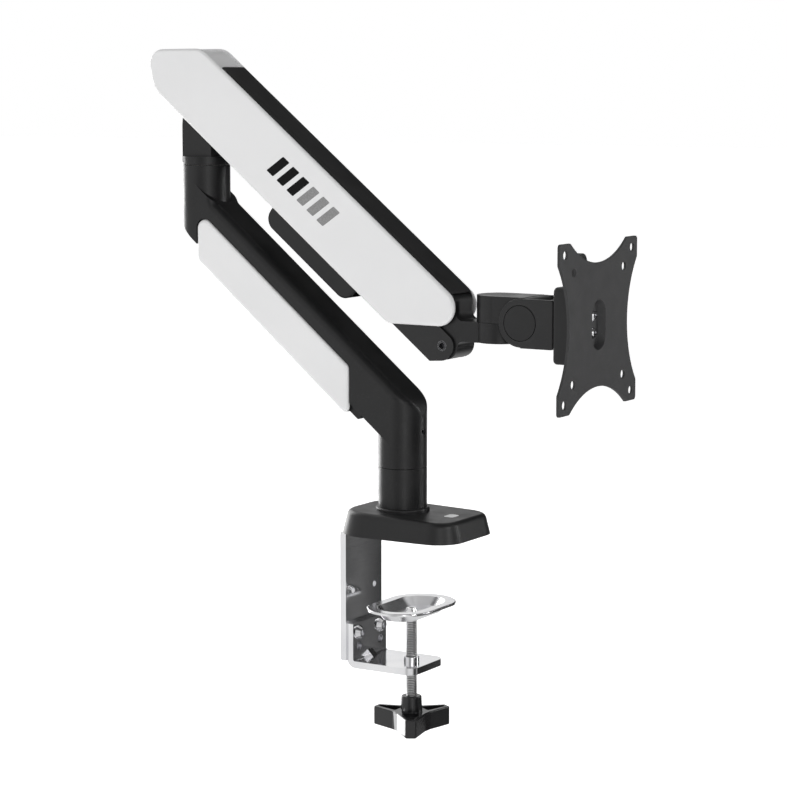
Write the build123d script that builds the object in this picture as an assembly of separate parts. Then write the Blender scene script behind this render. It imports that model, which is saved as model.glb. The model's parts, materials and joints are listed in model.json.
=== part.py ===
from build123d import *
import os
from math import cos, hypot, radians, sin

# Desk-clamp monitor arm, millimetres.
# Origin: on the post's swivel axis, in the plane of the desk top (underside of the desk pad).
# +Z is up, +X points over the desk, towards the screen. The arm is symmetric about y = 0.

# ---- driving dimensions ------------------------------------------------------------------
R_POST = 17.5              # post, lower arm knuckles and elbow neck
GAP = 0.3                  # free gap between bodies that move past each other
FIT = 0.06                 # radial clearance of a running fit
SEAT = 0.15                # face clearance over a thrust washer

PAD_T = 1.5                # foam pad under the base
STEEL = 4.7                # upper clamp bracket
LOWER_STEEL = 5.0          # lower clamp bracket
COVER_FRONT, COVER_REAR, COVER_HALF = 59.5, -39.7, 37.0
COVER_HIGH, COVER_FALL = 16.5, 1.8    # top face: height at the post's axis, fall to the front in degrees
COVER_DRAFT = 14.0         # degrees
COVER_WALL = 2.2
PLATE_BACK = -37.7         # rear face of the upright clamp plate
CLAMP_X = 7.5              # clamp screw axis
PAD_RIM_Z = -52.0          # top of the pressure pad
POST_TOP = 47.8
SPINDLE_R = 11.0

ELBOW_X = -170.0
ARM_BASE_Z = 48.1          # underside of the lower arm's front knuckle
ELBOW_Z = 260.0            # top of the lower arm's rear knuckle
DIAG = 39.5                # lower arm slope, degrees
H_BOTTOM, H_TOP = 49.9, 82.9          # distance of the slope's faces from the origin, along its normal

REAR_PIVOT = (-170.0, 332.7)          # (x, z) of the beam's rear pivot
LINK_DROP = (5.6, -28.7)              # lower link pivots, from the beam pivots
BEAM_ANGLE = 39.0                     # the upper arm falls forward by this much at rest
SPAN = 263.7                          # between the beam's two pivots
COVER_Y = (14.5, 17.5)                # inner and outer face of a side cover
BEAM_HALF, BEAM_WALL = 14.5, 2.0
BEAM_TOP, BEAM_LOW = 15.2, -10.0      # above and below the pivot line
LINK_HALF, LINK_WALL = 14.2, 1.8
CHEEK_HALF = 12.0                     # elbow tongue and front casting
SPRING_T, SPRING_R, ROD_R = -14.8, 9.0, 4.0
SPRING_LEVER = 17.0                   # spring anchor, below the rear pivot
EYE_BOSS = 9.0                        # radius of the elbow's eye round the rear pivot

PAN_X, PAN_R = 78.8, 16.0
PAN_Z = 156.1                         # underside of the head link
TILT = (105.3, 157.6)
SCREEN_Z = 157.7
PLATE_FACE, PLATE_T = 155.8, 1.8
PLATE_HALF_Y, PLATE_HALF_Z = 58.3, 57.5

FRONT_PIVOT = (REAR_PIVOT[0] + SPAN * cos(radians(BEAM_ANGLE)),
               REAR_PIVOT[1] - SPAN * sin(radians(BEAM_ANGLE)))

# Side views: (x, z) in the middle plane, and (s, t) along and square to the upper arm.
SIDE = Plane.XZ
ARM = Plane(origin=(REAR_PIVOT[0], 0, REAR_PIVOT[1]),
            x_dir=(cos(radians(BEAM_ANGLE)), 0, -sin(radians(BEAM_ANGLE))),
            z_dir=(0, -1, 0))


def arm_st(x, z):
    """(s, t) of a point given as (x, z)."""
    c, s = cos(radians(BEAM_ANGLE)), sin(radians(BEAM_ANGLE))
    dx, dz = x - REAR_PIVOT[0], z - REAR_PIVOT[1]
    return dx * c - dz * s, dx * s + dz * c


LINK_REAR = arm_st(REAR_PIVOT[0] + LINK_DROP[0], REAR_PIVOT[1] + LINK_DROP[1])
LINK_FRONT = (LINK_REAR[0] + SPAN, LINK_REAR[1])
LINK_REAR_XZ = (REAR_PIVOT[0] + LINK_DROP[0], REAR_PIVOT[1] + LINK_DROP[1])
LINK_FRONT_XZ = (FRONT_PIVOT[0] + LINK_DROP[0], FRONT_PIVOT[1] + LINK_DROP[1])
SPRING_ANCHOR = (REAR_PIVOT[0] + SPRING_LEVER * cos(radians(87)),
                 REAR_PIVOT[1] - SPRING_LEVER * sin(radians(87)))
EYE_S = arm_st(*SPRING_ANCHOR)[0]

NODES = {}


# ---- shared builders -----------------------------------------------------------------------
def keep(name, shape):
    """Store a finished node under its name."""
    NODES[name] = shape


def face_of(corners):
    """Closed outline from (x, y, corner radius) triples."""
    line = FilletPolyline(*[(x, y) for x, y, _ in corners], radius=[r for _, _, r in corners], close=True)
    return make_face(line)


def across(plane, face, half):
    """A side-view face made solid from y = -half to y = half."""
    return extrude(plane * face, amount=half, both=True)


def between(plane, face, y0, y1):
    """A side-view face made solid from y = y0 to y = y1 (y0 < y1)."""
    moved = plane.offset(-y1)
    return extrude(moved * face, amount=y1 - y0)


def both_sides(shape):
    """The shape and its mirror image in y = 0, as one group of two solids."""
    return Compound(children=[*shape.solids(), *mirror(shape, about=Plane.XZ).solids()])


def rod_z(x, z0, z1, r):
    return Pos(x, 0, (z0 + z1) / 2) * Cylinder(r, z1 - z0)


def rod_x(x0, x1, z, r, y=0):
    return Pos((x0 + x1) / 2, y, z) * Rot(0, 90, 0) * Cylinder(r, x1 - x0)


def rod_y(x, z, y0, y1, r):
    return Pos(x, (y0 + y1) / 2, z) * Rot(90, 0, 0) * Cylinder(r, y1 - y0)


def rod_s(s0, s1, t, r):
    """A round bar along the upper arm."""
    return ARM.location * Pos((s0 + s1) / 2, t, 0) * Rot(0, 90, 0) * Cylinder(r, s1 - s0)


def arm_pin(s, t, y0, y1, r):
    """A round bar across the upper arm, at (s, t)."""
    return ARM.location * Pos(s, t, -(y0 + y1) / 2) * Cylinder(r, y1 - y0)


def box(x0, x1, y0, y1, z0, z1):
    return Pos((x0 + x1) / 2, (y0 + y1) / 2, (z0 + z1) / 2) * Box(x1 - x0, y1 - y0, z1 - z0)


def arm_box(s0, s1, y0, y1, t0, t1):
    """A block lined up with the upper arm."""
    size = Box(s1 - s0, t1 - t0, y1 - y0)
    return ARM.location * Pos((s0 + s1) / 2, (t0 + t1) / 2, -(y0 + y1) / 2) * size


def soften(shape, edges, radii):
    """Round the edges with the largest radius of the list that the kernel can build."""
    for radius in radii:
        try:
            rounded = fillet(edges, radius)
            if rounded.is_valid:
                return rounded
        except (ValueError, RuntimeError):
            continue
    return shape


def hexagon_z(across_flats, depth):
    return extrude(RegularPolygon(across_flats / 2, 6, major_radius=False), amount=depth)


def stadium(r, straight):
    """Stadium outline, long axis along y."""
    return Rot(0, 0, 90) * SlotCenterToCenter(straight, 2 * r)


# ---- desk clamp and base -------------------------------------------------------------------
def base_outline(inset=0.0):
    rear, front = 27.0 - inset, 19.5 - inset
    x0, x1, y = COVER_REAR + inset, COVER_FRONT - inset, COVER_HALF - inset
    return face_of([(x0, -y, rear), (x1, -y, front), (x1, y, front), (x0, y, rear)])


def above_cover(drop=0.0):
    """Everything above the cover's sloping top face, or above a face that lies lower by drop."""
    return Pos(0, 0, COVER_HIGH - drop) * Rot(0, COVER_FALL, 0) * Pos(0, 0, 25) * Box(160, 120, 50)


def base_cover():
    rim, tall = 0.2, 21.0
    shell = extrude(Pos(0, 0, rim) * base_outline(), amount=tall, taper=COVER_DRAFT) - above_cover()
    shell = soften(shell, shell.faces().sort_by(Axis.Z)[-1].edges(), [4.5, 4.0, 3.0, 2.0])
    hollow = extrude(Pos(0, 0, rim) * base_outline(COVER_WALL), amount=tall, taper=COVER_DRAFT)
    hollow -= above_cover(2.4)
    keep("base_cover", shell - hollow - rod_z(0, 0, 30, R_POST + GAP))


def desk_pad():
    pad = face_of([(-34, -23, 3), (50, -23, 9), (50, 23, 9), (-34, 23, 3)])
    keep("desk_pad", extrude(pad, amount=PAD_T) - box(-45, -28.5, -30, 30, -1, 3))


POST_SCREWS = [(11.5, 0), (-5.75, 9.96), (-5.75, -9.96)]


def upper_clamp_bracket():
    top = PAD_T + STEEL
    outer, inner = 4.3 + STEEL, 4.3
    bottom = -94.0
    side = face_of([(PLATE_BACK, top, outer), (52, top, 0), (52, PAD_T, 0),
                    (PLATE_BACK + STEEL, PAD_T, inner), (PLATE_BACK + STEEL, bottom, 0),
                    (PLATE_BACK, bottom, 1.5)])
    bracket = across(SIDE, side, 24.5)
    room = extrude(Pos(0, 0, 0.2) * base_outline(COVER_WALL + GAP), amount=12, taper=COVER_DRAFT)
    outside = box(-60, 70, -50, 50, 0.2, 12) - room
    bracket -= outside
    for y in (-14.6, 14.6):
        bracket -= rod_x(-40, -30, -44, 2.2, y)
        bracket -= rod_x(-40, -30, -74.2, 3.0, y)
    for x, y in POST_SCREWS:
        bracket -= Pos(x, y, 4) * Cylinder(2.7, 8)
        bracket -= Pos(x, y, PAD_T + 1.3) * Cone(5.2, 2.6, 2.6)
    keep("upper_clamp_bracket", bracket)


def lower_clamp_bracket():
    x0 = PLATE_BACK + STEEL
    top, bottom = -67.0, -99.1
    side = face_of([(x0, top, 0), (x0, bottom, 6.5), (22.4, bottom, 0), (22.4, bottom + LOWER_STEEL, 0),
                    (x0 + LOWER_STEEL, bottom + LOWER_STEEL, 1.5), (x0 + LOWER_STEEL, top, 0)])
    bracket = across(SIDE, side, 22.8)
    corners = bracket.edges().filter_by(Axis.Z).group_by(Axis.X)[-1]
    bracket = soften(bracket, corners, [8.0])
    floor = bottom + LOWER_STEEL
    gusset = face_of([(x0 + LOWER_STEEL - 1, floor + 6, 0), (x0 + LOWER_STEEL - 1, floor - 1, 0),
                      (x0 + LOWER_STEEL + 6, floor - 1, 0)])
    bracket += across(SIDE, gusset, 3.2)
    for y in (-14.6, 14.6):
        for z in (-74.2, -84.2):
            bracket -= rod_x(x0 - 1, x0 + LOWER_STEEL + 1, z, 3.3, y)
    keep("lower_clamp_bracket", bracket - rod_z(CLAMP_X, -110, -80, 5.6))


def button_screw_x(x, y, z, head_r, head_h, shank_r, length, hex_af):
    """A button-head screw whose head sits on the plane x and faces +x."""
    head = Pos(x, y, z) * Rot(0, 90, 0) * extrude(Circle(head_r), amount=head_h, taper=28)
    socket = Pos(x + head_h - 1.9, y, z) * Rot(0, 90, 0) * hexagon_z(hex_af, 5.0)
    shank = rod_x(x - length, x + 0.5, z, shank_r, y)
    return head + shank - socket


def clamp_bracket_screws():
    x = PLATE_BACK + STEEL + LOWER_STEEL
    screws = [button_screw_x(x, y, -74.2, 5.25, 3.3, 2.95, 9.4, 4.0) for y in (-14.6, 14.6)]
    keep("clamp_bracket_screws", Compound(children=[s.solid() for s in screws]))


def clamp_nut_bush():
    bush = rod_z(CLAMP_X, -99.1, -90.4, 5.6) + rod_z(CLAMP_X, -101.0, -99.1, 7.2)
    bush = soften(bush, bush.edges().filter_by(GeomType.CIRCLE).group_by(Axis.Z)[-1], [0.5])
    keep("clamp_nut_bush", bush - rod_z(CLAMP_X, -110, -80, 4.0 + FIT))


def post():
    body = rod_z(0, PAD_T + STEEL, POST_TOP, R_POST)
    body = soften(body, body.edges().filter_by(GeomType.CIRCLE).group_by(Axis.Z)[-1], [0.5])
    body -= rod_z(0, 16.5, 60, SPINDLE_R + 2.0)
    body -= rod_z(0, POST_TOP - 0.9, 60, 15.6)
    for x, y in POST_SCREWS:
        body -= Pos(x, y, 11) * Cylinder(2.25, 10)
    keep("base_post", body)
    collar = rod_z(0, 12, COVER_HIGH + 2.3, R_POST + 1.9) - rod_z(0, 10, 30, R_POST + 0.05)
    outer_top = collar.edges().filter_by(GeomType.CIRCLE).group_by(Axis.Z)[-1].sort_by(SortBy.LENGTH)[-1]
    collar = soften(collar, [outer_top], [1.2, 1.0])
    keep("post_collar", collar & above_cover(-0.02))
    bush = rod_z(0, 16.6, POST_TOP - 1.0, SPINDLE_R + 1.98) - rod_z(0, 0, 60, SPINDLE_R + FIT)
    keep("post_bush", bush)
    washer = rod_z(0, POST_TOP - 0.88, ARM_BASE_Z - SEAT, 15.4) - rod_z(0, 0, 60, SPINDLE_R + 0.3)
    keep("post_thrust_washer", washer)
    screws = []
    for x, y in POST_SCREWS:
        head = Pos(x, y, PAD_T + 1.2) * Cone(4.9, 2.4, 2.4)
        shank = Pos(x, y, 8.5) * Cylinder(2.2, 12.6)
        socket = Pos(x, y, PAD_T - 0.1) * hexagon_z(3.0, 1.6)
        screws.append((head + shank - socket).solid())
    keep("post_screws", Compound(children=screws))


def pressure_pad():
    z, t = PAD_RIM_Z, 1.8
    straight = 28.0
    depth = 6.0

    def ring(r, level):
        return Pos(CLAMP_X, 0, level) * stadium(r, straight)

    flange = extrude(ring(25.0, z - t), amount=t)
    dish = loft([ring(18.8, z - t), ring(13.6, z - t - depth)])
    inside = loft([ring(17.2, z + 0.01), ring(12.0, z - depth)])
    pad = flange + dish - inside
    rims = pad.faces().filter_by(Axis.Z).sort_by(Axis.Z)[-1].edges()
    pad = soften(pad, rims, [0.8, 0.5])
    keep("pressure_pad", pad - rod_z(CLAMP_X, -70, -50, 3.1))
    floor = z - depth
    head = extrude(Pos(CLAMP_X, 0, floor + 0.1) * Circle(5.0), amount=3.0, taper=24)
    head += rod_z(CLAMP_X, floor - 8.0, floor + 0.2, 3.0)
    head -= Pos(CLAMP_X, 0, floor + 1.3) * hexagon_z(3.4, 4)
    keep("pad_retaining_screw", head)


def clamp_screw():
    top = PAD_RIM_Z - 6.0 - 1.8 - 0.15
    rod = rod_z(CLAMP_X, -141.0, top, 4.0)
    rod = soften(rod, rod.edges().filter_by(GeomType.CIRCLE).group_by(Axis.Z)[-1], [0.5])
    keep("clamp_screw", rod - rod_z(CLAMP_X, top - 6.2, top + 1, 3.0 + FIT))


def clamp_knob():
    low, wing_top, hub_top = -144.0, -130.5, -119.5
    reach, end_half, waist_r, waist_turn = 30.0, 3.6, 14.4, 46.0
    star, pockets = [], []
    for wing in range(3):
        turn = 60.0 + 120.0 * wing

        def at(r, angle):
            return r * cos(radians(turn + angle)), r * sin(radians(turn + angle))

        tip = hypot(reach, end_half)
        tip_turn = 6.9
        star += [(*at(waist_r, -waist_turn), 2.0), (*at(tip, -tip_turn), 1.6),
                 (*at(tip, tip_turn), 1.6), (*at(waist_r, waist_turn), 2.0)]
        pocket = face_of([(*at(12.0, -32), 0.8), (*at(27.5, -4.0), 0.8),
                          (*at(27.5, 4.0), 0.8), (*at(12.0, 32), 0.8)])
        pockets.append(pocket)
    body = extrude(Pos(CLAMP_X, 0, low) * face_of(star), amount=wing_top - low)
    flat = body.faces().filter_by(Axis.Z)
    body = soften(body, flat.sort_by(Axis.Z)[0].edges() + flat.sort_by(Axis.Z)[-1].edges(), [0.9, 0.6])
    for pocket in pockets:
        body -= extrude(Pos(CLAMP_X, 0, wing_top - 3.0) * pocket, amount=5)
    hub = Pos(CLAMP_X, 0, (low + hub_top) / 2 + 1) * Cone(8.6, 7.3, hub_top - low - 2)
    hub = soften(hub, hub.edges().filter_by(GeomType.CIRCLE).group_by(Axis.Z)[-1], [0.8])
    keep("clamp_knob", body + hub - rod_z(CLAMP_X, -141.0, -110, 4.02))


# ---- lower arm -------------------------------------------------------------------------------
def at_height(h, x):
    """z of the slope line at distance h, at x."""
    return (h - x * sin(radians(DIAG))) / cos(radians(DIAG))


TROUGH_X = (-162.0, -20.0)            # cable trough in the underside
LINER_X = (-150.0, -27.0)
SLEEVE_X = (-167.0, -34.6)
SLEEVE_H = (41.0, 70.2)


def lower_arm_casting():
    x0, x1 = ELBOW_X, 0.0
    plan = SlotCenterToCenter(x1 - x0, 2 * R_POST)
    upright = extrude(Pos((x0 + x1) / 2, 0, 40) * plan, amount=230)
    side = face_of([
        (x1 + R_POST, ARM_BASE_Z, 0), (x1 + R_POST, at_height(H_TOP, x1 + R_POST), 18),
        (x0 + R_POST, at_height(H_TOP, x0 + R_POST), 6), (x0 + R_POST, ELBOW_Z, 0),
        (x0 - R_POST, ELBOW_Z, 0), (x0 - R_POST, at_height(H_BOTTOM, x0 - R_POST), 0),
        (x1 - R_POST, at_height(H_BOTTOM, x1 - R_POST), 3), (x1 - R_POST, ARM_BASE_Z, 0)])
    body = upright & across(SIDE, side, 30)
    top = [e for e in body.edges() if abs(e.center().Z - at_height(H_TOP, e.center().X)) < 1.5
           and e.length > 20]
    body = soften(body, top, [6.0, 4.5, 3.0, 1.5])
    below = face_of([(x1 - R_POST - 1, at_height(H_BOTTOM, x1 - R_POST - 1), 0),
                     (x1, at_height(H_BOTTOM, x1), 0), (x1, 40, 0), (x1 - R_POST - 1, 40, 0)])
    body -= across(SIDE, below, 30) - rod_z(x1, 30, 100, R_POST)
    above = face_of([(x0, at_height(H_TOP, x0), 0), (x0 + R_POST + 1, at_height(H_TOP, x0 + R_POST + 1), 0),
                     (x0 + R_POST + 1, ELBOW_Z + 2, 0), (x0, ELBOW_Z + 2, 0)])
    body -= across(SIDE, above, 30) - rod_z(x0, 200, 300, R_POST)
    seat = extrude(SIDE * face_of([
        (SLEEVE_X[0] - GAP, at_height(SLEEVE_H[1] + 0.2, SLEEVE_X[0] - GAP), 7),
        (SLEEVE_X[0] - GAP, 60, 0), (SLEEVE_X[1] + GAP, 40, 0),
        (SLEEVE_X[1] + GAP, at_height(SLEEVE_H[1] + 0.2, SLEEVE_X[1] + GAP), 5)]), amount=30, both=True)
    body -= seat - box(-250, 50, -15.9, 15.9, 0, 400)
    rear, front = TROUGH_X
    trough = face_of([(rear, at_height(40, rear), 0), (front, at_height(40, front), 0),
                      (front, at_height(62, front), 4), (rear, at_height(62, rear), 4)])
    body -= across(SIDE, trough, 11.0)
    body -= rod_z(x1, 30, 76, SPINDLE_R)
    body -= rod_z(x0, 224, 300, SPINDLE_R)
    body -= rod_z(x0, ELBOW_Z - 0.9, 300, 15.6)
    body -= rod_x(9, 30, 74.0, 2.6)
    keep("lower_arm_casting", body)


def sleeve_solid(h0, h1, half, trim):
    x0, x1 = SLEEVE_X[0] + trim, SLEEVE_X[1] - trim
    side = face_of([(x0, at_height(h0, x0), 6), (x0, at_height(h1, x0), 7),
                    (x1, at_height(h1, x1), 5), (x1, at_height(h0, x1), 4)])
    return across(SIDE, side, half)


def lower_arm_cable_cover():
    body = sleeve_solid(*SLEEVE_H, 18.1, 0)
    low = [e for e in body.edges() if e.length > 90 and abs(e.center().Z
           - at_height(SLEEVE_H[0], e.center().X)) < 1.5]
    body = soften(body, low, [3.0, 2.0])
    rest = [e for e in body.edges() if abs(abs(e.center().Y) - 18.1) < 0.05]
    body = soften(body, rest, [0.5, 0.3])
    inner = across(SIDE, face_of([
        (-190, at_height(SLEEVE_H[0] + 2.0, -190), 0), (-190, at_height(90, -190), 0),
        (-10, at_height(90, -10), 0), (-10, at_height(SLEEVE_H[0] + 2.0, -10), 0)]), 16.1)
    keep("lower_arm_cable_cover", body - inner)


def lower_arm_cable_channel():
    x0, x1 = LINER_X
    high = H_BOTTOM - 0.2
    side = face_of([(x0, at_height(43.8, x0), 0), (x1, at_height(43.8, x1), 2),
                    (x1, at_height(high, x1), 0), (x0, at_height(high, x0), 0)])
    inner = face_of([(x0 - 9, at_height(45.3, x0 - 9), 0), (x1 + 9, at_height(45.3, x1 + 9), 0),
                     (x1 + 9, at_height(60, x1 + 9), 0), (x0 - 9, at_height(60, x0 - 9), 0)])
    keep("lower_arm_cable_channel", across(SIDE, side, 13.5) - across(SIDE, inner, 12.0))


def lower_arm_fittings():
    spindle = rod_z(0, 17.5, 75.9, SPINDLE_R)
    ends = spindle.edges().filter_by(GeomType.CIRCLE)
    keep("lower_arm_spindle", soften(spindle, ends, [0.8]))
    bush = rod_z(ELBOW_X, 224.1, ELBOW_Z - 1.0, SPINDLE_R - 0.02) - rod_z(ELBOW_X, 200, 300, 9.0 + FIT)
    keep("elbow_bush", bush)
    washer = rod_z(ELBOW_X, ELBOW_Z - 0.88, ELBOW_Z + 0.3 - SEAT, 15.4)
    keep("elbow_thrust_washer", washer - rod_z(ELBOW_X, 200, 300, 9.4))
    grub = rod_x(11.2, 16.8, 74.0, 2.5) - Pos(15.2, 0, 74.0) * Rot(0, 90, 0) * hexagon_z(2.5, 3)
    keep("spindle_grub_screw", grub)


# ---- elbow -----------------------------------------------------------------------------------
def elbow_casting():
    ax, az = REAR_PIVOT
    low = ELBOW_Z + 0.3
    neck = rod_z(ELBOW_X, low, 266.5, R_POST)
    upper = face_of([(ax - 13.2, 262, 0), (ax - 13.2, az - 43, 20), (ax - EYE_BOSS, az - 2, 10),
                     (ax - EYE_BOSS, az + EYE_BOSS, EYE_BOSS - 0.1),
                     (ax + EYE_BOSS, az + EYE_BOSS, EYE_BOSS - 0.1),
                     (ax + EYE_BOSS, 316, 12), (ax + 12.5, 304, 12), (ax + 12.5, 262, 0)])
    tongue = across(SIDE, upper, CHEEK_HALF) & rod_z(ELBOW_X, 255, 400, R_POST + 3)
    body = neck + tongue
    body = soften(body, body.faces().sort_by(Axis.Z)[0].edges(), [0.5])
    shoulder = [e for e in body.edges().filter_by(Axis.X) if abs(abs(e.center().Y) - CHEEK_HALF) < 0.05
                and abs(e.center().Z - 266.5) < 0.05]
    body = soften(body, shoulder, [4.0, 3.0, 2.0])
    slot = face_of([(ax - 20, 296, 0), (ax + 30, 296, 0), (ax + 30, az + 30, 0), (ax - 20, az + 30, 0)])
    body -= across(SIDE, slot, 6.3)
    body += rod_y(ax, az, -7, 7, 6.2)
    body -= rod_y(ax, az, -20, 20, 5.0)
    body -= rod_y(*SPRING_ANCHOR, -20, 20, 3.0)
    body -= rod_y(*LINK_REAR_XZ, -20, 20, 3.0)
    body -= rod_z(ELBOW_X, 250, 285, 9.0)
    keep("elbow_casting", body)
    spindle = rod_z(ELBOW_X, 226, 284.9, 9.0)
    keep("elbow_spindle", soften(spindle, spindle.edges().filter_by(GeomType.CIRCLE), [0.8]))
    keep("rear_pivot_bush", rod_y(ax, az, -12, 12, 4.98) - rod_y(ax, az, -20, 20, 4.2 + FIT))
    keep("spring_anchor_pin", rod_y(*SPRING_ANCHOR, -12, 12, 2.98))
    keep("link_rear_pins", both_sides(rod_y(*LINK_REAR_XZ, 6.5, LINK_HALF, 2.98)))


# ---- upper arm -------------------------------------------------------------------------------
COVER_CORNERS = [(-2.5, 14.2, 16), (-40.0, -16.6, 11), (-17.0, -35.4, 22), (243.7, -35.4, 12),
                 (305.1, 14.2, 13.4)]
CAP_END = 20.0             # the rear cap reaches this far forward over the beam


def upper_arm_beam():
    eye = 9.2
    side = face_of([(-eye, eye, eye - 0.1), (CAP_END + 0.2, eye, 0), (CAP_END + 0.2, BEAM_TOP, 0),
                    (SPAN + 13.5, BEAM_TOP, 13), (SPAN + 13.5, BEAM_LOW, 11), (-eye, BEAM_LOW, eye - 0.1)])
    beam = across(ARM, side, BEAM_HALF)
    ridge = [e for e in beam.edges() if e.length > 100
             and (ARM.to_local_coords(e.center())).Y > BEAM_TOP - 0.1]
    beam = soften(beam, ridge, [1.6, 1.0])
    inner = BEAM_HALF - BEAM_WALL
    beam -= arm_box(-40, SPAN + 40, -inner, inner, -40, BEAM_TOP - BEAM_WALL)
    beam -= arm_box(SPAN + 4.6, SPAN + 40, -inner, inner, -40, 40)
    beam -= arm_box(-40, CAP_END - 2, -inner, inner, -40, 40)
    beam -= arm_pin(0, 0, -20, 20, 4.2)
    beam -= arm_pin(SPAN, 0, -20, 20, 4.2)
    keep("upper_arm_beam", beam)


def upper_covers():
    y0, y1 = COVER_Y
    plate = between(ARM, face_of(COVER_CORNERS), y0, y1)
    outer = plate.faces().sort_by(Axis.Y)[-1]
    plate = soften(plate, outer.edges(), [2.2, 1.6, 1.0])
    pocket = offset(face_of(COVER_CORNERS), amount=-3.0)
    plate -= between(ARM, pocket, y0 - 1, y0 + 1.2) - arm_box(-12, SPAN + 12, 0, 30, BEAM_LOW, 10.4)
    keep("upper_cover_right", mirror(plate, about=Plane.XZ))
    keep("upper_cover_left", plate)


def beam_end_cap():
    outline = face_of(COVER_CORNERS)
    band = offset(outline, amount=-1.4) - offset(outline, amount=-3.0)
    low, high = -10.5, 14.0
    band &= Pos(CAP_END / 2 - 50, (low + high) / 2) * Rectangle(CAP_END + 100, high - low)
    cap = across(ARM, band, 14.4)
    keep("beam_end_cap", cap.solids().sort_by(SortBy.VOLUME)[-1])


def upper_arm_pins():
    for name, s in (("rear_pivot_pin", 0.0), ("front_pivot_pin", SPAN)):
        pin = arm_pin(s, 0, -BEAM_HALF + 0.05, BEAM_HALF - 0.05, 4.2)
        keep(name, soften(pin, pin.edges().filter_by(GeomType.CIRCLE), [0.4]))


SPRING_PIN_S = 222.0
CYLINDER_S = (80.0, 212.0)


def gas_spring():
    t = SPRING_T
    s0, s1 = CYLINDER_S
    tube = rod_s(s0, s1, t, SPRING_R)
    tube = soften(tube, tube.edges().filter_by(GeomType.CIRCLE), [1.5, 1.0])
    tube += rod_s(s1 - 1, SPRING_PIN_S, t, 5.0) + arm_pin(SPRING_PIN_S, t, -7, 7, 7.0)
    tube -= arm_pin(SPRING_PIN_S, t, -20, 20, 3.0)
    tube -= rod_s(s0 - 5, 170, t, ROD_R + FIT)
    keep("gas_spring_cylinder", tube)
    bracket = arm_box(213, 231, -11.6, 11.6, t - 6, BEAM_TOP - BEAM_WALL)
    bracket -= arm_box(205, 240, -9.6, 9.6, t - 10, BEAM_TOP - BEAM_WALL - 2)
    keep("gas_spring_bracket", bracket - arm_pin(SPRING_PIN_S, t, -20, 20, 3.0))
    keep("gas_spring_pin", arm_pin(SPRING_PIN_S, t, -11.6, 11.6, 2.98))
    rod = rod_s(EYE_S + 6, 150, t, ROD_R)
    keep("gas_spring_rod", rod)
    eye = arm_pin(EYE_S, t, -5.5, 5.5, 7.6) + rod_s(EYE_S + 3, EYE_S + 16, t, 5.4)
    eye -= arm_pin(EYE_S, t, -20, 20, 5.6) + rod_s(EYE_S + 5.9, EYE_S + 30, t, ROD_R)
    keep("gas_spring_eye", eye)


# ---- lower link ------------------------------------------------------------------------------
CLIP_S = (115.0, 207.0)


def lower_link():
    (ds, t), cs = LINK_REAR, LINK_FRONT[0]
    low = t - 15.0
    side = face_of([
        (ds - 8, t + 8, 7.9), (ds + 18, t + 8, 15), (ds + 33, t + 5.2, 15), (cs - 31, t + 5.2, 25),
        (cs - 14, t + 9, 15), (cs + 9, t + 9, 8.9), (cs + 9, t - 6, 8), (cs - 0.7, low, 1),
        (ds + 30, low, 10), (ds - 8, t - 8, 7.9)])
    link = across(ARM, side, LINK_HALF)
    inner = LINK_HALF - LINK_WALL
    link -= arm_box(ds - 20, cs + 20, -inner, inner, low + LINK_WALL, 20)
    link -= arm_box(ds - 20, ds + 32, -inner, inner, low - 5, 20)
    link -= arm_pin(ds, t, -20, 20, 3.0 + FIT)
    link -= arm_pin(cs, t, -20, 20, 3.5)
    keep("lower_link", link)
    pin = arm_pin(cs, t, -LINK_HALF, LINK_HALF, 3.48)
    for side_sign in (-1, 1):
        socket = hexagon_z(4.6, 5.0)
        pin -= ARM.location * Pos(cs, t, side_sign * LINK_HALF - 2.5) * socket
    keep("link_front_pin", pin)


def cable_clip():
    s0, s1 = CLIP_S
    top = LINK_REAR[1] - 15.0
    low = top - 16.8
    side = face_of([(s0, top, 2), (s1, top, 2), (s1, low, 10), (s0, low, 10)])
    clip = across(ARM, side, 12.0)
    long_edges = [e for e in clip.edges() if e.length > 60 and ARM.to_local_coords(e.center()).Y < low + 1]
    clip = soften(clip, long_edges, [3.0, 2.0])
    tunnel = arm_box(s0 - 5, s1 + 5, -9.8, 9.8, low + 2.2, top - 2.0)
    keep("cable_clip", clip - tunnel)


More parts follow.
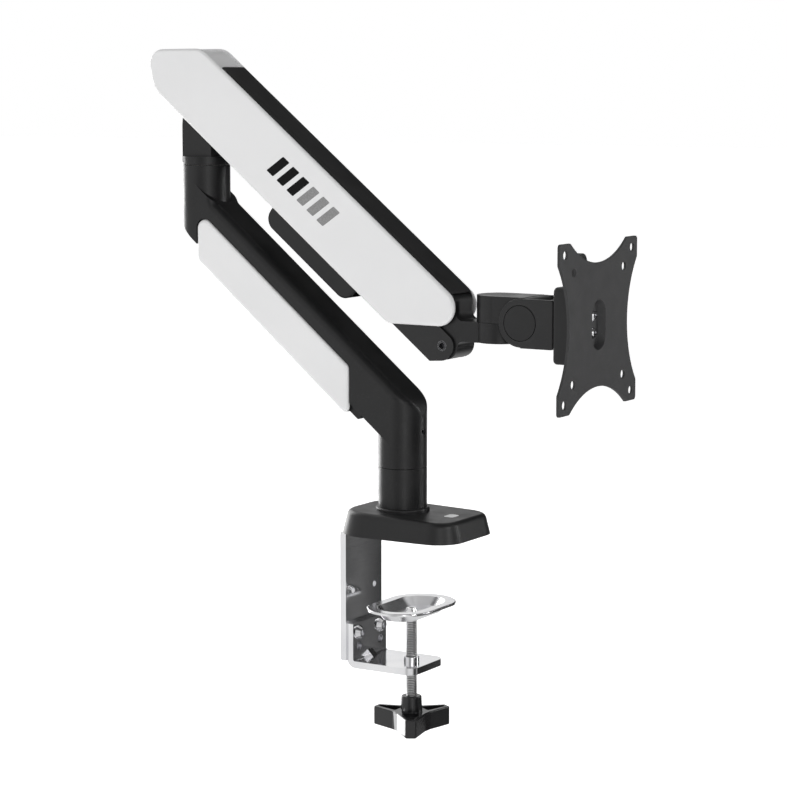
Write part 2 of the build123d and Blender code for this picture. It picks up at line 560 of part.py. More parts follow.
# ---- front casting and head ------------------------------------------------------------------
def front_casting():
    bx, bz = FRONT_PIVOT
    cx, cz = LINK_FRONT_XZ
    lug = 9.9
    low, high = 141.5, PAN_Z - GAP
    web = face_of([
        (bx - 11, bz - 6, 0), (cx - lug, cz - lug, 9.8), (cx + 11.2, cz - lug, 9.8), (cx + 11.2, low, 4),
        (PAN_X, low, 0), (PAN_X, high, 0), (bx + 15, high, 6), (bx + 15, bz + 5.2, 5), (bx + 3, bz + 10, 0)])
    profile = web + Pos(bx, bz) * Circle(12.4)
    body = across(SIDE, profile, CHEEK_HALF)
    faces = body.faces().filter_by(Axis.Y)
    body = soften(body, faces.sort_by(Axis.Y)[0].edges() + faces.sort_by(Axis.Y)[-1].edges(), [1.0, 0.6])
    hub = rod_z(PAN_X, low, high, PAN_R)
    hub = soften(hub, hub.edges().filter_by(GeomType.CIRCLE).group_by(Axis.Z)[0], [1.0])
    body += hub
    body -= rod_y(bx, bz, -20, 20, 5.2)
    body -= rod_y(cx, cz, -20, 20, 3.5 + FIT)
    body -= rod_z(PAN_X, low - 5, high + 5, 5.0)
    body -= rod_z(PAN_X, low - 5, low + 4.5, 8.8)
    keep("front_casting", body)
    keep("front_pivot_bush", rod_y(bx, bz, -12, 12, 5.18) - rod_y(bx, bz, -20, 20, 4.2 + FIT))
    bolt = rod_z(PAN_X, low + 0.6, low + 4.4, 8.5) + rod_z(PAN_X, low + 2, 170.0, 4.98)
    bolt -= Pos(PAN_X, 0, low) * hexagon_z(6.0, 3.0)
    keep("pan_bolt", bolt)
    nut = Pos(PAN_X, 0, 166.0) * hexagon_z(14.0, 4.6)
    keep("pan_nut", nut - rod_z(PAN_X, 150, 180, 5.0))


def head_link():
    x0, x1 = PAN_X, TILT[0]
    top, half = 174.8, 15.8
    bar = rod_z(x0, PAN_Z, top, PAN_R) + box(x0, x1, -half, half, PAN_Z, top)
    end = rod_y(*TILT, -half, half, 17.0)
    rim = bar.edges().filter_by(GeomType.CIRCLE).group_by(Axis.Z)[-1]
    bar = soften(bar, rim, [1.0])
    body = bar + end
    body -= rod_z(x0, 120, PAN_Z, PAN_R + GAP)
    body -= rod_z(x0, 150, 200, 5.0 + FIT)
    body -= rod_z(x0, 165.8, 200, 9.2)
    body -= rod_z(x0, 172.0, 200, 10.6)
    body -= rod_z(x0, 150, PAN_Z + 1.0, 14.2)
    body -= rod_y(*TILT, -20, 20, 6.5)
    keep("head_link", body)
    keep("pan_cap", rod_z(x0, 172.0, top, 10.5))
    washer = rod_z(x0, PAN_Z - 0.15, PAN_Z + 0.98, 14.1) - rod_z(x0, 150, 180, 5.2)
    keep("pan_thrust_washer", washer)
    keep("tilt_bush", rod_y(*TILT, -half, half, 6.48) - rod_y(*TILT, -20, 20, 5.0 + FIT))


BACK_X = (127.0, 131.0)


def tilt_bracket():
    tx, tz = TILT
    low, high = 140.3, 174.3
    cheek = face_of([(tx, low, 0), (BACK_X[1], low, 2.0), (BACK_X[1], high, 2.0), (tx, high, 0)])
    cheek += Pos(tx, tz) * Circle(16.8)
    body = across(SIDE, cheek, 20.0)
    body = soften(body, body.faces().filter_by(Axis.Y).sort_by(Axis.Y)[0].edges()
                  + body.faces().filter_by(Axis.Y).sort_by(Axis.Y)[-1].edges(), [1.0, 0.6])
    body -= box(60, BACK_X[0], -16.2, 16.2, 100, 200)
    body -= rod_y(tx, tz, -30, 30, 5.0)
    body -= rod_y(tx, tz, 18.5, 30, 12.6) + rod_y(tx, tz, -30, -18.5, 12.6)
    body -= rod_x(120, 140, SCREEN_Z, 5.0)
    keep("tilt_bracket", body)
    keep("tilt_bolt", rod_y(tx, tz, -18.4, 18.4, 4.98))
    cap = rod_y(tx, tz, 18.55, 20.2, 12.2)
    cap = soften(cap, cap.edges().filter_by(GeomType.CIRCLE).sort_by(Axis.Y)[-1:], [0.5])
    keep("tilt_caps", both_sides(cap))
    spacer = rod_x(BACK_X[1], 133.85, SCREEN_Z, 13.0) - rod_x(125, 140, SCREEN_Z, 5.2)
    keep("rotation_spacer", spacer)
    bolt = rod_x(124.0, 140.4, SCREEN_Z, 4.98) + rod_x(140.3, 145.0, SCREEN_Z, 8.4)
    bolt -= Pos(142.4, 0, SCREEN_Z) * Rot(0, 90, 0) * hexagon_z(6.0, 4)
    keep("rotation_bolt", bolt)
    nut = Pos(123.0, 0, SCREEN_Z) * Rot(0, 90, 0) * hexagon_z(13.0, 4.0)
    keep("rotation_nut", nut - rod_x(120, 140, SCREEN_Z, 5.0))


BLOCK_X = (134.0, PLATE_FACE - PLATE_T)
LATCH_X = (135.2, 142.8)


def rotation_block():
    x0, x1 = BLOCK_X
    body = box(x0, x1, -26.8, 26.8, SCREEN_Z - 26.3, SCREEN_Z + 26.3)
    body = soften(body, body.edges().filter_by(Axis.X), [3.5])
    body = soften(body, body.faces().sort_by(Axis.X)[0].edges(), [2.5, 1.5])
    body -= rod_x(130, 141, SCREEN_Z, 5.0 + FIT)
    body -= rod_x(140.0, 150, SCREEN_Z, 9.2)
    body -= box(146.2, 160, -15.2, 15.2, SCREEN_Z - 22.2, SCREEN_Z + 22.2)
    body -= box(LATCH_X[0] - GAP, LATCH_X[1] + GAP, -7.6, 7.6, SCREEN_Z + 11.6, SCREEN_Z + 40)
    keep("rotation_block", body)
    latch = box(*LATCH_X, -7.2, 7.2, SCREEN_Z + 12.0, SCREEN_Z + 48.0)
    top = latch.edges().filter_by(Axis.X).group_by(Axis.Z)[-1]
    keep("release_latch", soften(latch, top, [7.1]))


def vesa_plate():
    y, z = PLATE_HALF_Y, PLATE_HALF_Z
    arc_top, mid_top = 67.0, 42.4
    arc_side, mid_side = 70.6, 43.7
    blank = face_of([(-y, -z, 2.5), (y, -z, 2.5), (y, z, 2.5), (-y, z, 2.5)])
    for sign in (-1, 1):
        blank -= Pos(0, sign * (mid_top + arc_top)) * Circle(arc_top)
        blank -= Pos(sign * (mid_side + arc_side), 0) * Circle(arc_side)
    cusps = [v for v in blank.vertices() if max(abs(v.X) / y, abs(v.Y) / z) > 0.999
             and abs(v.X) + abs(v.Y) < y + z - 4]
    blank = fillet(cusps, 2.5)
    for pitch in (75, 100):
        for sy in (-1, 1):
            for sz in (-1, 1):
                blank -= Pos(sy * pitch / 2, sz * pitch / 2) * Circle(3.25)
    screen = Plane(origin=(PLATE_FACE, 0, SCREEN_Z), x_dir=(0, 1, 0), z_dir=(1, 0, 0))
    plate = extrude(screen * blank, amount=-PLATE_T)
    rim = [e for e in plate.faces().sort_by(Axis.X)[-1].outer_wire().edges()]
    plate = soften(plate, rim, [0.6, 0.4])
    recess = 5.0

    def oval(r, level):
        return screen.offset(level) * (Rot(0, 0, 90) * SlotCenterToCenter(14.0, 2 * r))

    dish = loft([oval(12.2, -PLATE_T), oval(10.4, -PLATE_T - recess)])
    hollow = loft([oval(10.4, 0.01), oval(8.2, -recess)])
    plate = plate + dish - hollow
    for dz in (-6.0, 6.0):
        plate -= rod_x(140, 160, SCREEN_Z + dz, 2.1)
    keep("vesa_plate", plate)
    floor = PLATE_FACE - recess
    screws = [button_screw_x(floor, 0, SCREEN_Z + dz, 4.1, 2.4, 2.0, 4.5, 2.6) for dz in (-6.0, 6.0)]
    keep("vesa_plate_screws", Compound(children=[s.solid() for s in screws]))
    nut_plate = box(146.2, floor - PLATE_T, -15.1, 15.1, SCREEN_Z - 22.1, SCREEN_Z + 22.1)
    for dz in (-6.0, 6.0):
        nut_plate -= rod_x(140, 160, SCREEN_Z + dz, 2.0)
    keep("plate_nut_bar", nut_plate)


BUILDERS = [
    base_cover, desk_pad, upper_clamp_bracket, lower_clamp_bracket, clamp_bracket_screws,
    clamp_nut_bush, post, pressure_pad, clamp_screw, clamp_knob,
    lower_arm_casting, lower_arm_cable_cover, lower_arm_cable_channel, lower_arm_fittings,
    elbow_casting, upper_arm_beam, upper_covers, beam_end_cap, upper_arm_pins, gas_spring,
    lower_link, cable_clip, front_casting, head_link, tilt_bracket, rotation_block, vesa_plate,
]

for builder in BUILDERS:
    builder()

os.makedirs("parts", exist_ok=True)
for node_name, node_shape in NODES.items():
    export_step(node_shape, f"parts/{node_name}.step")
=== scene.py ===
import json
import math

import bmesh
import bpy
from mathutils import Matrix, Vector


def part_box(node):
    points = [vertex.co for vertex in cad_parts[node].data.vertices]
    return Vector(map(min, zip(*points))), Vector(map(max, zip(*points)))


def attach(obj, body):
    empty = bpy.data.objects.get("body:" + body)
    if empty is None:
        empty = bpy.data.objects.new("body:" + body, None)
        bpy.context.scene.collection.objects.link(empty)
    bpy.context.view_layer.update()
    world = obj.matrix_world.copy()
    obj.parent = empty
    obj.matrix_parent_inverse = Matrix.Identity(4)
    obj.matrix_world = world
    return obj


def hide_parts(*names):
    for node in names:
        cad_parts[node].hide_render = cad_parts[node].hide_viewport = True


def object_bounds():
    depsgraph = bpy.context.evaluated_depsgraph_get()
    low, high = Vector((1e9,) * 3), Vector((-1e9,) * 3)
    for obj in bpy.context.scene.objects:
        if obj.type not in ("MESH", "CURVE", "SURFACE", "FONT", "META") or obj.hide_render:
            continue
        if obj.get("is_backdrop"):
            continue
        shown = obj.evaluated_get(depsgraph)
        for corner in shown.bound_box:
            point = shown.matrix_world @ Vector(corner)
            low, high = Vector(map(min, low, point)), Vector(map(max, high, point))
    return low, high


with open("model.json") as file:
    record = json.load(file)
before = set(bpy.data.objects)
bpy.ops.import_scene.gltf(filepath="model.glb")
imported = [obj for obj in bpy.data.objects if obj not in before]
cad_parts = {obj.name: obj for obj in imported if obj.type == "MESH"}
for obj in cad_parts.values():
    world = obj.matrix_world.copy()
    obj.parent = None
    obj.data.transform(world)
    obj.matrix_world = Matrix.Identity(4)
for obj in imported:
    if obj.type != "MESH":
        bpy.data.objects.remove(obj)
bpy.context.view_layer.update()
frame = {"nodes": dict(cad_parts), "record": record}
NODES = frame["nodes"]
MM = 0.001

# ---- camera: degrees round the target, metres, and millimetres for the sensor and lens -----
AZIMUTH, ELEVATION = 31.36, 7.22
TARGET = Vector((-0.00773, 0, 0.09971))
DISTANCE = 1.78985
SENSOR, LENS = 36.0, 114.3
CLIP_NEAR, CLIP_FAR = 0.05, 100.0

# ---- floor, metres: it lies clear of the knob when the clamp is wide open ------------------
FLOOR_GAP, FLOOR_SIZE = 0.03, 30.0
FLOOR_GLOW = 0.65

# ---- clamp thread (M8) and the bore in its top, millimetres --------------------------------
THREAD_PITCH, THREAD_R, THREAD_ROOT = 1.25, 4.0, 3.3
THREAD_BORE_R, THREAD_BORE_DEEP = 3.06, 6.2

# ---- printed marks, millimetres ------------------------------------------------------------
INK_THICK, INK_SUNK = 0.06, 0.02
BAR_LONG, BAR_HIGH, BAR_GAP = 7.0, 17.0, 4.0
BAR_CORNER, BAR_LEAN = 0.8, 0.3
# the first bar stands this far along from the rear pivot, its foot this far below the pivots' line
BAR_START, BAR_FOOT = 98.0, 17.0
BARS_EACH = 3
# the base's mark: its middle in front of the post's axis, its size and its corner radius
BADGE_X, BADGE_LONG, BADGE_WIDE, BADGE_CORNER = 40.5, 7.5, 11.5, 2.4

# ---- upper arm's line, from the two pivot pins ---------------------------------------------
def middle(node):
    low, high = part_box(node)
    return (low + high) / 2


REAR_PIVOT, FRONT_PIVOT = middle("rear_pivot_pin"), middle("front_pivot_pin")
ALONG = (FRONT_PIVOT - REAR_PIVOT).normalized()


# ---- node materials ------------------------------------------------------------------------
class Shade:
    """Builds one node material around a Principled shader."""

    def __init__(self, name, rough, metallic=0.0, specular=0.5):
        self.material = bpy.data.materials.new(name)
        self.material.use_nodes = True
        self.tree = self.material.node_tree
        self.shader = self.tree.nodes["Principled BSDF"]
        self.shader.inputs["Roughness"].default_value = rough
        self.shader.inputs["Metallic"].default_value = metallic
        self.shader.inputs["Specular IOR Level"].default_value = specular
        self.place = self.tree.nodes.new("ShaderNodeTexCoord").outputs["Object"]

    def add(self, kind, **settings):
        node = self.tree.nodes.new(kind)
        for name, value in settings.items():
            setattr(node, name, value)
        return node

    def link(self, source, target):
        self.tree.links.new(source, target)

    def stretched(self, scale):
        """The object's own coordinates, scaled on each axis."""
        mapping = self.add("ShaderNodeMapping")
        mapping.inputs["Scale"].default_value = scale
        self.link(self.place, mapping.inputs["Vector"])
        return mapping.outputs["Vector"]

    def noise(self, scale, detail=2.0, rough=0.5, vector=None):
        node = self.add("ShaderNodeTexNoise")
        node.inputs["Scale"].default_value = scale
        node.inputs["Detail"].default_value = detail
        node.inputs["Roughness"].default_value = rough
        self.link(vector or self.place, node.inputs["Vector"])
        return node.outputs["Fac"]

    def cells(self, scale):
        node = self.add("ShaderNodeTexVoronoi", feature="F1")
        node.inputs["Scale"].default_value = scale
        self.link(self.place, node.inputs["Vector"])
        return node.outputs["Distance"]

    def spread(self, source, from_low, from_high, to_low, to_high):
        node = self.add("ShaderNodeMapRange")
        for name, value in (("From Min", from_low), ("From Max", from_high),
                            ("To Min", to_low), ("To Max", to_high)):
            node.inputs[name].default_value = value
        self.link(source, node.inputs["Value"])
        return node.outputs["Result"]

    def mix(self, factor, low, high):
        """Colour mix of two colours or sockets."""
        node = self.add("ShaderNodeMix", data_type="RGBA")
        self.link(factor, node.inputs[0])
        for socket, value in ((node.inputs[6], low), (node.inputs[7], high)):
            if isinstance(value, bpy.types.NodeSocket):
                self.link(value, socket)
            else:
                socket.default_value = (*value, 1.0)
        return node.outputs[2]

    def edges(self, width):
        """0 on flats and 1 on corners, from how far a rounded normal leaves the true one; the corners it
        picks out are painted lighter as an edge highlight.
        """
        rounded = self.add("ShaderNodeBevel", samples=6)
        rounded.inputs["Radius"].default_value = width
        geometry = self.add("ShaderNodeNewGeometry")
        dot = self.add("ShaderNodeVectorMath", operation="DOT_PRODUCT")
        self.link(rounded.outputs["Normal"], dot.inputs[0])
        self.link(geometry.outputs["Normal"], dot.inputs[1])
        return self.spread(dot.outputs["Value"], 0.98, 0.75, 0.0, 1.0)

    def bump(self, height, strength, distance, below=None):
        node = self.add("ShaderNodeBump")
        node.inputs["Strength"].default_value = strength
        node.inputs["Distance"].default_value = distance
        self.link(height, node.inputs["Height"])
        if below is not None:
            self.link(below, node.inputs["Normal"])
        return node.outputs["Normal"]

    def finish(self, colour=None, rough=None, normal=None):
        for socket, name in ((colour, "Base Color"), (rough, "Roughness"), (normal, "Normal")):
            if socket is not None:
                self.link(socket, self.shader.inputs[name])
        return self.material


def powder_coat(name, dark, light, edge, rough=0.5, specular=0.35, grain=1400.0):
    """Fine matte powder coat: pebbled surface, slow colour drift, corners painted lighter as an edge
    highlight and as rubbed wear.
    """
    s = Shade(name, rough, specular=specular)
    drift = s.noise(22.0, 3.0)
    base = s.mix(s.spread(drift, 0.35, 0.65, 0.0, 1.0), dark, light)
    fleck = s.spread(s.noise(grain, 1.0), 0.62, 0.72, 0.0, 0.25)
    base = s.mix(fleck, base, edge)
    # painted highlight: corners are lightened towards the edge colour, partly standing for rubbed wear
    base = s.mix(s.spread(s.edges(0.0006), 0.0, 1.0, 0.0, 0.55), base, edge)
    roughness = s.spread(s.noise(60.0, 4.0), 0.3, 0.7, rough - 0.05, rough + 0.07)
    fine = s.bump(s.noise(grain, 2.0, 0.6), 0.22, 0.00004)
    return s.finish(base, roughness, s.bump(s.cells(grain * 0.45), 0.12, 0.00005, fine))


def moulded_plastic(name, dark, light, rough=0.4, specular=0.45, grain=900.0, edge=None, relief=0.1):
    """Injection-moulded plastic: eroded mould texture, faint flow marks, soft shine changes."""
    s = Shade(name, rough, specular=specular)
    flow = s.noise(1.0, 4.0, vector=s.stretched((9.0, 30.0, 14.0)))
    base = s.mix(s.spread(flow, 0.35, 0.65, 0.0, 1.0), dark, light)
    # painted highlight: corners are lightened towards the edge colour
    if edge is not None:
        base = s.mix(s.spread(s.edges(0.0005), 0.0, 1.0, 0.0, 0.5), base, edge)
    roughness = s.spread(s.noise(75.0, 3.0), 0.3, 0.7, rough - 0.04, rough + 0.05)
    pits = s.bump(s.noise(grain, 3.0, 0.65), relief, 0.00004)
    return s.finish(base, roughness, s.bump(flow, 0.04, 0.0004, pits))


def plated_steel(name, colour, dull, rough=0.22, lines=(6.0, 6.0, 700.0), depth=0.0015):
    """Plated sheet steel: fine brushed lines under the plate, hazy patches, corners painted lighter as an
    edge highlight.
    """
    s = Shade(name, rough, metallic=1.0)
    brush = s.noise(1.0, 3.0, vector=s.stretched(lines))
    haze = s.noise(38.0, 4.0)
    base = s.mix(s.spread(haze, 0.35, 0.7, 0.0, 1.0), colour, dull)
    # painted highlight: corners are lightened towards a bright grey
    base = s.mix(s.spread(s.edges(0.0004), 0.0, 1.0, 0.0, 0.7), base, (0.93, 0.93, 0.94))
    mottled = s.add("ShaderNodeMath", operation="ADD")
    s.link(s.spread(brush, 0.3, 0.7, rough - 0.01, rough + 0.02), mottled.inputs[0])
    s.link(s.spread(haze, 0.3, 0.7, -0.02, 0.03), mottled.inputs[1])
    return s.finish(base, mottled.outputs[0], s.bump(brush, depth, 0.0001))


def rolled_thread(name, crest, root):
    """Zinc-plated thread with painted shade in its roots, from the depth stored on the mesh."""
    s = Shade(name, 0.26, metallic=1.0)
    depth = s.add("ShaderNodeAttribute", attribute_name="thread_depth").outputs["Fac"]
    dull = tuple(0.8 * c for c in crest)
    haze = s.mix(s.spread(s.noise(60.0, 3.0), 0.35, 0.65, 0.0, 1.0), crest, dull)
    # painted shade: the thread's roots are coloured dark by their depth
    base = s.mix(s.spread(depth, 0.45, 1.0, 0.0, 1.0), haze, root)
    rough = s.spread(depth, 0.0, 1.0, 0.2, 0.5)
    return s.finish(base, rough, s.bump(s.noise(900.0, 3.0), 0.1, 0.00003))


def closed_foam(name):
    """Black closed-cell foam with open cut cells, painted darker towards each cell's hollow middle as
    shade.
    """
    s = Shade(name, 0.85, specular=0.2)
    cells = s.cells(1500.0)
    # painted shade: each cell is darker towards its hollow middle
    base = s.mix(s.spread(cells, 0.0, 0.8, 0.0, 1.0), (0.012, 0.012, 0.012), (0.05, 0.05, 0.05))
    rough = s.spread(s.noise(200.0), 0.3, 0.7, 0.78, 0.92)
    return s.finish(base, rough, s.bump(cells, 0.6, 0.0002))


MATERIALS = {
    "black_plastic": moulded_plastic("black_plastic", (0.008, 0.008, 0.0085), (0.012, 0.012, 0.0125),
                                     0.40, 0.42, 1100.0, (0.06, 0.06, 0.062), 0.16),
    "knob_plastic": moulded_plastic("knob_plastic", (0.008, 0.008, 0.0085), (0.012, 0.012, 0.0125),
                                    0.2, 0.5, 900.0, (0.05, 0.05, 0.052), 0.12),
    "foam": closed_foam("foam"),
    "polished_steel": plated_steel("polished_steel", (0.88, 0.88, 0.89), (0.81, 0.81, 0.83), 0.13),
    "pad_chrome": plated_steel("pad_chrome", (0.88, 0.88, 0.89), (0.80, 0.80, 0.82), 0.21,
                               (250.0, 250.0, 60.0), 0.015),
    # painted light: a copy of the black sheet coat, painted lighter for the light falling on the VESA
    # plate
    "black_sheet_painted_lit": powder_coat("black_sheet_painted_lit", (0.029, 0.029, 0.030), (0.032, 0.032, 0.033),
                              (0.09, 0.09, 0.093), 0.5, 0.38, 1700.0),
    "zinc_steel": plated_steel("zinc_steel", (0.86, 0.86, 0.87), (0.74, 0.74, 0.76), 0.12),
    "screw_steel": rolled_thread("screw_steel", (0.82, 0.82, 0.82), (0.06, 0.06, 0.06)),
    "dark_steel": plated_steel("dark_steel", (0.06, 0.06, 0.065), (0.035, 0.035, 0.04), 0.34),
    "black_casting": powder_coat("black_casting", (0.007, 0.007, 0.0075), (0.010, 0.010, 0.0105),
                                 (0.045, 0.045, 0.047), 0.36, 0.42),
    "black_sheet": powder_coat("black_sheet", (0.013, 0.013, 0.0135), (0.018, 0.018, 0.0185),
                               (0.06, 0.06, 0.062), 0.42, 0.4, 1700.0),
    "white_plastic": moulded_plastic("white_plastic", (0.765, 0.766, 0.77), (0.79, 0.79, 0.793),
                                     0.38, 0.4, 800.0, (0.86, 0.86, 0.862), 0.05),
    "grey_plastic": moulded_plastic("grey_plastic", (0.67, 0.67, 0.675), (0.71, 0.71, 0.715),
                                    0.42, 0.4, 900.0, (0.8, 0.8, 0.8), 0.1),
    "bearing_plastic": moulded_plastic("bearing_plastic", (0.66, 0.64, 0.58), (0.72, 0.71, 0.66),
                                       0.5, 0.4, 700.0, None, 0.08),
    "spring_paint": powder_coat("spring_paint", (0.010, 0.010, 0.011), (0.015, 0.015, 0.016),
                                (0.05, 0.05, 0.05), 0.25, 0.5, 500.0),
    "rod_chrome": plated_steel("rod_chrome", (0.84, 0.84, 0.85), (0.76, 0.76, 0.78), 0.08,
                               (300.0, 300.0, 300.0), 0.02),
}


def dress(node, slot, finish=None):
    """Give a CAD node its slot's material, or a copy of it painted lighter for the light falling on the
    node. Its shape stays.
    """
    mesh = NODES[node].data
    mesh.materials.clear()
    mesh.materials.append(MATERIALS[finish or slot])


# painted light: nodes that get a lighter-painted copy of their slot's material
PAINTED_LIGHT_COPIES = {"vesa_plate": "black_sheet_painted_lit"}
for part in frame["record"]["subparts"]:
    dress(part["node"], part["material_slot"], PAINTED_LIGHT_COPIES.get(part["node"]))


# ---- new pieces ----------------------------------------------------------------------------
def piece(name, bm, material, body, smooth_angle=35.0):
    """A finished mesh piece from a bmesh, riding on a body. Only corners past the angle stay sharp."""
    mesh = bpy.data.meshes.new(name)
    bmesh.ops.recalc_face_normals(bm, faces=bm.faces)
    bm.to_mesh(mesh)
    bm.free()
    mesh.materials.append(material)
    for polygon in mesh.polygons:
        polygon.use_smooth = True
    mesh.set_sharp_from_angle(angle=math.radians(smooth_angle))
    obj = bpy.data.objects.new(name, mesh)
    bpy.context.scene.collection.objects.link(obj)
    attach(obj, body)
    return obj


def threaded_rod(centre, z_low, z_high):
    """A rod with a real rolled thread, tapered at both ends, and a bore in its top end.

    The mesh attribute thread_depth is 0 on the crest and 1 in the root.
    """
    around, per_pitch = 48, 8
    pitch = THREAD_PITCH * MM
    thread_deep = THREAD_R - THREAD_ROOT
    rows = int((z_high - z_low) / pitch * per_pitch)
    bm = bmesh.new()
    stored = bm.verts.layers.float.new("thread_depth")
    rings = []
    for row in range(rows + 1):
        z = z_low + (z_high - z_low) * row / rows
        lead = min(z - z_low, z_high - z) / (1.5 * pitch)
        ring = []
        for step in range(around):
            turn = 2 * math.pi * step / around
            phase = ((z / pitch - step / around) % 1.0)
            flank = min(1.0, max(0.0, 1.6 - abs(phase - 0.5) * 4.4))
            r = THREAD_ROOT + thread_deep * flank * min(1.0, max(0.0, lead))
            vertex = bm.verts.new((centre.x + r * MM * math.cos(turn),
                                   centre.y + r * MM * math.sin(turn), z))
            vertex[stored] = (THREAD_R - r) / thread_deep
            ring.append(vertex)
        rings.append(ring)
    for lower, upper in zip(rings, rings[1:]):
        for step in range(around):
            after = (step + 1) % around
            bm.faces.new((lower[step], lower[after], upper[after], upper[step]))
    bm.faces.new(list(reversed(rings[0])))

    def circle(r, z):
        return [bm.verts.new((centre.x + r * math.cos(2 * math.pi * s / around),
                              centre.y + r * math.sin(2 * math.pi * s / around), z))
                for s in range(around)]

    mouth = circle(THREAD_BORE_R * MM, z_high)
    bottom = circle(THREAD_BORE_R * MM, z_high - THREAD_BORE_DEEP * MM)
    for inner, outer in ((mouth, rings[-1]), (bottom, mouth)):
        for step in range(around):
            after = (step + 1) % around
            bm.faces.new((outer[step], outer[after], inner[after], inner[step]))
    bm.faces.new(bottom)
    return bm


def clamp_thread():
    low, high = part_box("clamp_screw")
    bm = threaded_rod((low + high) / 2, low.z, high.z)
    steel = MATERIALS["screw_steel"]
    rod = piece("clamp_screw_threaded", bm, steel, "clamp_handle", 40.0)
    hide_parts("clamp_screw")


clamp_thread()


def rounded_bar(bm, corner, along, up, out, length, height, radius, lean=0.0):
    """A thin bar of ink with round corners: length along, height up, leaning by lean."""
    outline = []
    steps = 6
    right, top = length - radius, height - radius
    for quadrant, (cx, cy) in enumerate(((right, top), (radius, top), (radius, radius), (right, radius))):
        for step in range(steps + 1):
            turn = math.radians(90.0 * (quadrant + step / steps))
            x, y = cx + radius * math.cos(turn), cy + radius * math.sin(turn)
            outline.append((x + lean * y, y))
    layers = [[bm.verts.new(corner + along * x + up * y + out * lift) for x, y in outline]
              for lift in (0.0, INK_THICK * MM)]
    count = len(outline)
    for step in range(count):
        after = (step + 1) % count
        bm.faces.new((layers[0][step], layers[0][after], layers[1][after], layers[1][step]))
    bm.faces.new(layers[1])
    bm.faces.new(list(reversed(layers[0])))


def print_ink(name, colour):
    s = Shade(name, 0.55, specular=0.12)
    faded = tuple(min(1.0, c * 1.3 + 0.004) for c in colour)
    worn = s.mix(s.spread(s.noise(900.0, 3.0), 0.4, 0.75, 0.0, 1.0), colour, faded)
    rough = s.spread(s.noise(300.0), 0.3, 0.7, 0.45, 0.58)
    return s.finish(worn, rough, s.bump(s.noise(1500.0), 0.1, 0.00003))


INK_DARK = print_ink("ink_dark", (0.004, 0.004, 0.004))
INK_GREY = print_ink("ink_grey", (0.24, 0.24, 0.24))
INK_LIGHT = print_ink("ink_light", (0.94, 0.94, 0.94))


def cover_marks():
    """Plain slanted bars on each side cover, three dark and three grey."""
    square = Vector((-ALONG.z, 0, ALONG.x))
    pitch = BAR_LONG + BAR_GAP
    for side, cover in ((-1, "upper_cover_right"), (1, "upper_cover_left")):
        low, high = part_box(cover)
        face = low.y if side < 0 else high.y
        for group, material, start in (("dark", INK_DARK, 0), ("grey", INK_GREY, BARS_EACH)):
            bm = bmesh.new()
            for bar in range(start, start + BARS_EACH):
                along = (BAR_START + bar * pitch) * MM
                corner = REAR_PIVOT + ALONG * along - square * (BAR_FOOT * MM)
                corner.y = face - side * INK_SUNK * MM
                rounded_bar(bm, corner, ALONG, square, Vector((0, side, 0)),
                            BAR_LONG * MM, BAR_HIGH * MM, BAR_CORNER * MM, BAR_LEAN)
            piece(f"{cover}_marks_{group}", bm, material, "upper_arm")


cover_marks()


def base_mark():
    """A plain oblong mark printed on the base cover's sloping top, in front of the post."""
    cover = NODES["base_cover"]
    above = Vector((BADGE_X * MM, 0.0, 0.1))
    inverse = cover.matrix_world.inverted()
    down = (inverse.to_3x3() @ Vector((0, 0, -1))).normalized()
    hit, place, normal, _ = cover.ray_cast(inverse @ above, down)
    if not hit:
        raise RuntimeError("no top face under the mark")
    place = cover.matrix_world @ place
    up = (cover.matrix_world.to_3x3() @ normal).normalized()
    across = Vector((0, 1, 0))
    forward = across.cross(up)
    length, width = BADGE_LONG * MM, BADGE_WIDE * MM
    corner = place - forward * length / 2 - across * width / 2 - up * INK_SUNK * MM
    bm = bmesh.new()
    rounded_bar(bm, corner, forward, across, up, length, width, BADGE_CORNER * MM)
    piece("base_cover_mark", bm, INK_LIGHT, "base")


base_mark()


# ---- stage, light and camera ---------------------------------------------------------------
def stage():
    low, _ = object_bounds()
    bpy.ops.mesh.primitive_plane_add(size=FLOOR_SIZE, location=(0, 0, low.z - FLOOR_GAP))
    floor = bpy.context.active_object
    floor.name = "floor"
    s = Shade("floor", 0.9, specular=0.1)
    shade = s.mix(s.spread(s.noise(3.0), 0.3, 0.7, 0.0, 1.0), (0.9, 0.9, 0.9), (0.92, 0.92, 0.92))
    s.shader.inputs["Emission Color"].default_value = (1, 1, 1, 1)
    s.shader.inputs["Emission Strength"].default_value = FLOOR_GLOW
    floor.data.materials.append(s.finish(shade))
    floor.visible_glossy = False
    floor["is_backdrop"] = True


def direction(azimuth, elevation):
    """From the object outwards: azimuth 0 is -Y, 90 is +X, in degrees."""
    a, e = math.radians(azimuth), math.radians(elevation)
    return Vector((math.sin(a) * math.cos(e), -math.cos(a) * math.cos(e), math.sin(e)))


def softbox(name, azimuth, elevation, far, wide, high, radiance, aim=TARGET, shiny=True):
    """An area light of a given brightness, facing its aim. Without shine it is not mirrored."""
    light = bpy.data.lights.new(name, "AREA")
    light.shape = "RECTANGLE"
    light.size, light.size_y = wide, high
    light.energy = math.pi * wide * high * radiance
    obj = bpy.data.objects.new(name, light)
    out = direction(azimuth, elevation)
    obj.location = aim + out * far
    obj.rotation_euler = out.to_track_quat("Z", "Y").to_euler()
    obj.visible_camera = False
    obj.visible_glossy = shiny
    bpy.context.scene.collection.objects.link(obj)


WORLD_LEVEL, LEAST_LEVEL = 0.92, 0.02
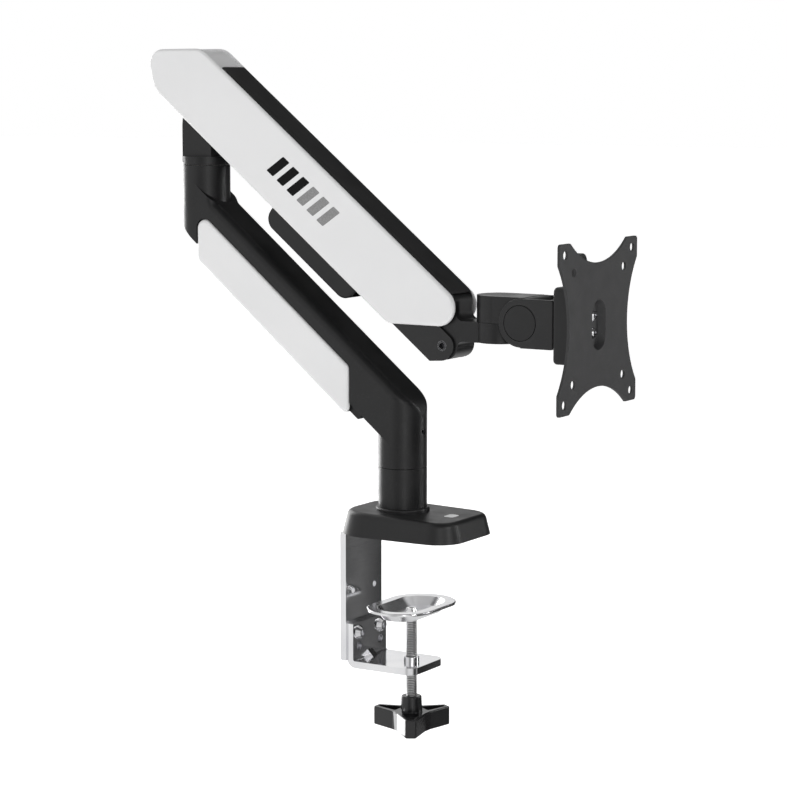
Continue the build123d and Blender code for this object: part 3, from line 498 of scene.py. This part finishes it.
# round areas of the studio: azimuth, elevation, outer and inner radius in degrees, change of level
SECTORS = [
    (-31.0, -5.0, 26.0, 10.0, 0.16),
    (211.0, 7.0, 20.0, 8.0, 0.28),
    (149.0, -8.0, 36.0, 16.0, -0.95),
    (94.0, 4.0, 36.0, 14.0, -0.92),
    (178.0, 22.0, 36.0, 16.0, -0.95),
    (6.0, 4.0, 24.0, 6.0, -0.55),
    (80.0, 62.0, 52.0, 25.0, -0.8),
]
# the places on the clamp that three small cards are mirrored in, metres
BRACKET_FACE = Vector((-0.014, 0.0085, -0.07))
OVER_DISH = middle("pressure_pad") + Vector((0, 0.018, 0))
KNOB_FACET = Vector((0.0111, -0.0205, -0.1372))


def studio():
    world = bpy.data.worlds.new("studio")
    bpy.context.scene.world = world
    world.use_nodes = True
    tree = world.node_tree
    tree.nodes.clear()
    nodes, links = tree.nodes, tree.links
    output = nodes.new("ShaderNodeOutputWorld")
    seen, lit = nodes.new("ShaderNodeBackground"), nodes.new("ShaderNodeBackground")
    seen.inputs["Color"].default_value = (1, 1, 1, 1)
    choice, path = nodes.new("ShaderNodeMixShader"), nodes.new("ShaderNodeLightPath")
    links.new(path.outputs["Is Camera Ray"], choice.inputs[0])
    links.new(lit.outputs[0], choice.inputs[1])
    links.new(seen.outputs[0], choice.inputs[2])
    links.new(choice.outputs[0], output.inputs["Surface"])
    coordinates = nodes.new("ShaderNodeTexCoord")
    total = None
    for azimuth, elevation, edge, core, gain in SECTORS:
        dot = nodes.new("ShaderNodeVectorMath")
        dot.operation = "DOT_PRODUCT"
        dot.inputs[1].default_value = direction(azimuth, elevation)
        links.new(coordinates.outputs["Generated"], dot.inputs[0])
        amount = nodes.new("ShaderNodeMapRange")
        amount.interpolation_type = "SMOOTHSTEP"
        limits = (math.cos(math.radians(edge)), math.cos(math.radians(core)), 0.0, gain)
        for socket, value in zip(("From Min", "From Max", "To Min", "To Max"), limits):
            amount.inputs[socket].default_value = value
        links.new(dot.outputs["Value"], amount.inputs["Value"])
        add = nodes.new("ShaderNodeMath")
        add.operation = "ADD"
        links.new(amount.outputs["Result"], add.inputs[0])
        add.inputs[1].default_value = WORLD_LEVEL
        if total is not None:
            links.new(total, add.inputs[1])
        total = add.outputs[0]
    least = nodes.new("ShaderNodeMath")
    least.operation = "MAXIMUM"
    least.inputs[1].default_value = LEAST_LEVEL
    links.new(total, least.inputs[0])
    links.new(least.outputs[0], lit.inputs["Strength"])
    softbox("key", -35.0, 38.0, 2.0, 1.4, 1.2, 0.3, shiny=False)
    softbox("strip_front", 40.0, 8.0, 2.2, 0.34, 1.6, 2.2)
    softbox("strip_skirt", 82.0, 22.0, 1.8, 0.35, 0.45, 13.0)
    softbox("strip_right", 133.0, 8.0, 1.6, 0.14, 1.1, 8.0)
    softbox("rim_left", -113.0, 6.0, 1.6, 0.75, 1.5, 4.5)
    softbox("bracket_card", 148.6, -7.0, 0.4, 0.03, 0.25, 0.12, BRACKET_FACE)
    softbox("dish_card", 0.0, 90.0, 0.045, 0.06, 0.07, 0.45, OVER_DISH)
    softbox("knob_card", -114.2, -7.2, 0.014, 0.009, 0.018, 4.5, KNOB_FACET)
    scene = bpy.context.scene
    scene.view_settings.view_transform = "Standard"
    scene.view_settings.look = "None"


def camera():
    data = bpy.data.cameras.new("camera")
    data.sensor_width, data.lens = SENSOR, LENS
    obj = bpy.data.objects.new("camera", data)
    back = direction(AZIMUTH, ELEVATION)
    obj.location = TARGET + back * DISTANCE
    obj.rotation_euler = (-back).to_track_quat("-Z", "Y").to_euler()
    data.clip_start, data.clip_end = CLIP_NEAR, CLIP_FAR
    bpy.context.scene.collection.objects.link(obj)
    bpy.context.scene.camera = obj


stage()
studio()
camera()
